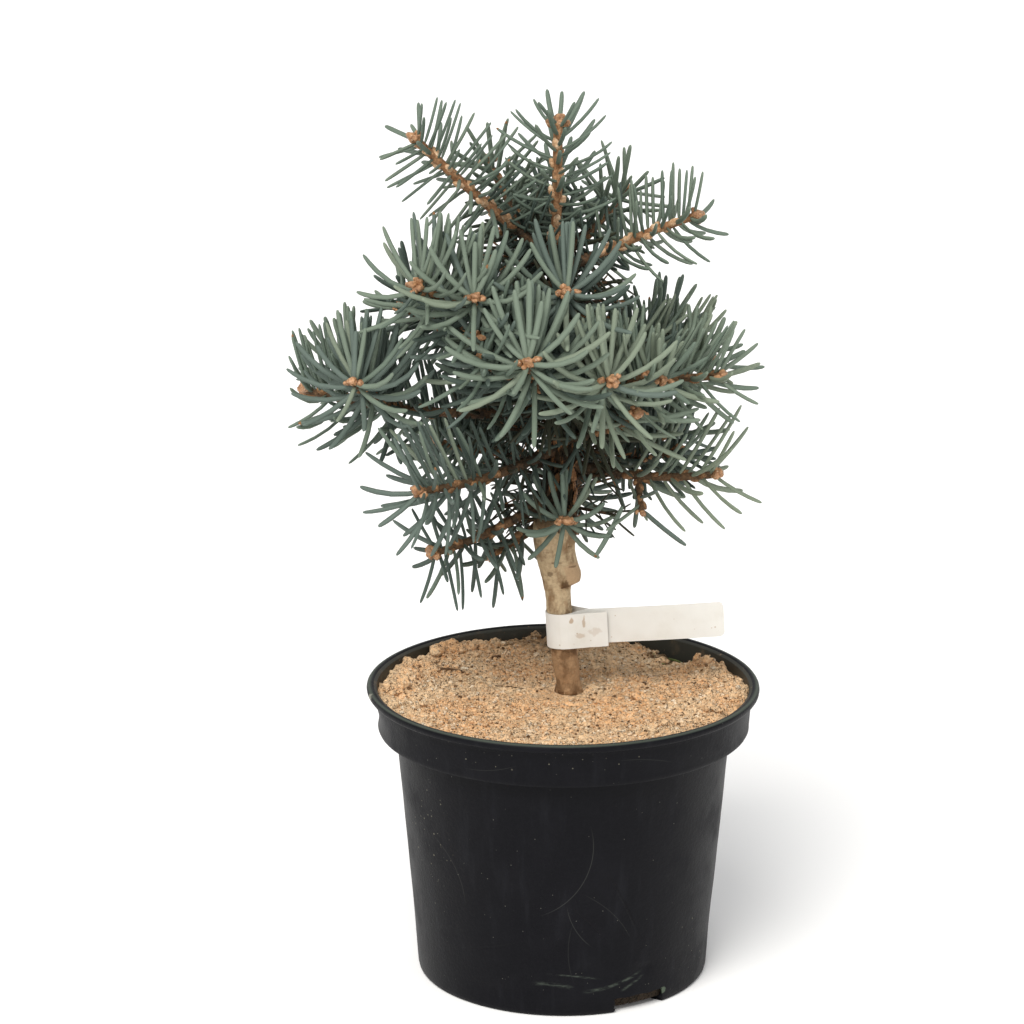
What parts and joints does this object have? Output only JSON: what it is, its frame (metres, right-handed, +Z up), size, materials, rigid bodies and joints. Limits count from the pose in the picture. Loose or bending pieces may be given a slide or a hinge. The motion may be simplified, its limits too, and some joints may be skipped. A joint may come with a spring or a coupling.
{
  "type": "potted compacta white fir",
  "caption": "Young grafted white fir with a bare trunk and a bushy crown of long blue-green needles, in a round tapered nursery pot with a broad collar, filled with sandy soil.",
  "frame": {"origin": "centre of the pot's flat underside", "axes": "+Z up along the pot's axis, -Y the side that the picture shows, +X the side that the tag's tail points to"},
  "size_m": [0.2644, 0.2326, 0.4959],
  "materials": {
    "pot_plastic": "satin black with fine scuffs and dust",
    "soil": "loose matt sand with dark crumbs",
    "trunk_bark": "grey-tan cracked bark",
    "bough_bark": "orange-tan young bark",
    "needles": "waxy grey-green, matt",
    "tag_plastic": "white, slightly stained"
  },
  "bodies": {
    "root": {"bough_back_left": "bough_bark", "bough_back_mid": "bough_bark", "bough_back_right": "bough_bark", "bough_back_top": "bough_bark", "bough_centre_front": "bough_bark", "bough_far_left": "bough_bark", "bough_hanging": "bough_bark", "bough_left_front": "bough_bark", "bough_left_mid": "bough_bark", "bough_low_back": "bough_bark", "bough_low_back_left": "bough_bark", "bough_low_back_right": "bough_bark", "bough_low_left": "bough_bark", "bough_lower_front_right": "bough_bark", "bough_lower_left": "bough_bark", "bough_lower_right": "bough_bark", "bough_right": "bough_bark", "bough_right_back": "bough_bark", "bough_right_centre": "bough_bark", "bough_upper_back_left": "bough_bark", "bough_upper_back_right": "bough_bark", "bough_upper_front": "bough_bark", "bough_upper_left": "bough_bark", "bough_upper_right": "bough_bark", "needles_back_left": "needles", "needles_back_mid": "needles", "needles_back_right": "needles", "needles_back_top": "needles", "needles_centre_front": "needles", "needles_far_left": "needles", "needles_hanging": "needles", "needles_leader": "needles", "needles_left_front": "needles", "needles_left_mid": "needles", "needles_low_back": "needles", "needles_low_back_left": "needles", "needles_low_back_right": "needles", "needles_low_front": "needles", "needles_low_left": "needles", "needles_lower_front_right": "needles", "needles_lower_left": "needles", "needles_lower_right": "needles", "needles_right": "needles", "needles_right_back": "needles", "needles_right_centre": "needles", "needles_upper_back_left": "needles", "needles_upper_back_right": "needles", "needles_upper_front": "needles", "needles_upper_left": "needles", "needles_upper_right": "needles", "plant_tag": "tag_plastic", "pot": "pot_plastic", "soil": "soil", "trunk": "trunk_bark"}
  },
  "joints": []
}
